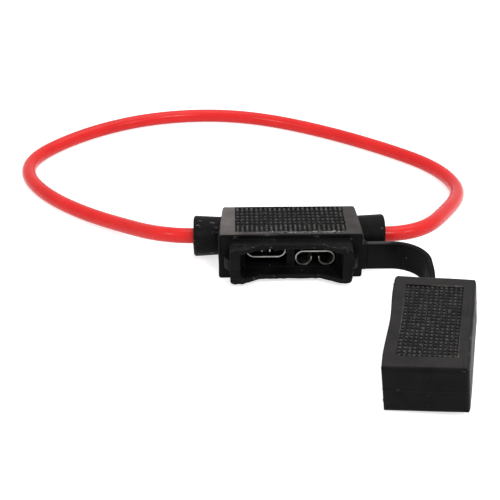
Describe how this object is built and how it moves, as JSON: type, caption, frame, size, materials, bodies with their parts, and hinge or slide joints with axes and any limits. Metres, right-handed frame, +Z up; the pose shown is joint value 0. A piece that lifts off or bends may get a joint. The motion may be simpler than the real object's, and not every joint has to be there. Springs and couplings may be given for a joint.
{
  "type": "blade fuse holder",
  "caption": "In-line holder for a standard blade fuse: moulded block with crimped terminals on an uncut wire loop, and a strapped cap that closes over its mouth.",
  "frame": {"origin": "middle of the block's underside, on the surface it rests on", "axes": "+X along the wire ends to the right, +Y away from the mouth, +Z up"},
  "size_m": [0.1017, 0.1238, 0.0109],
  "materials": {
    "black_pvc": "soft moulded PVC, satin, with fine mould texture and scuffs",
    "tinned_brass": "dull tin plate",
    "copper": "bare stranded copper",
    "red_insulation": "glossy extruded PVC"
  },
  "bodies": {
    "holder": {"holder_body": "black_pvc", "left_terminal": "tinned_brass", "right_terminal": "tinned_brass", "left_conductor": "copper", "right_conductor": "copper", "wire_loop": "red_insulation"},
    "strap": {"strap": "black_pvc"},
    "cap": {"cap": "black_pvc"}
  },
  "joints": [
    {"name": "cap_swing", "type": "hinge", "parent": "holder", "child": "strap", "pos_m": [0.0225, -0.01301, 0.006], "axis": [0.0673, 0.0597, -0.9959], "range_deg": [0, 78.21], "deforming": ["strap"]},
    {"name": "cap_push", "type": "slide", "parent": "strap", "child": "cap", "axis": [-0.9717, 0.2071, -0.1132], "range_m": [0, 0.0048]}
  ]
}
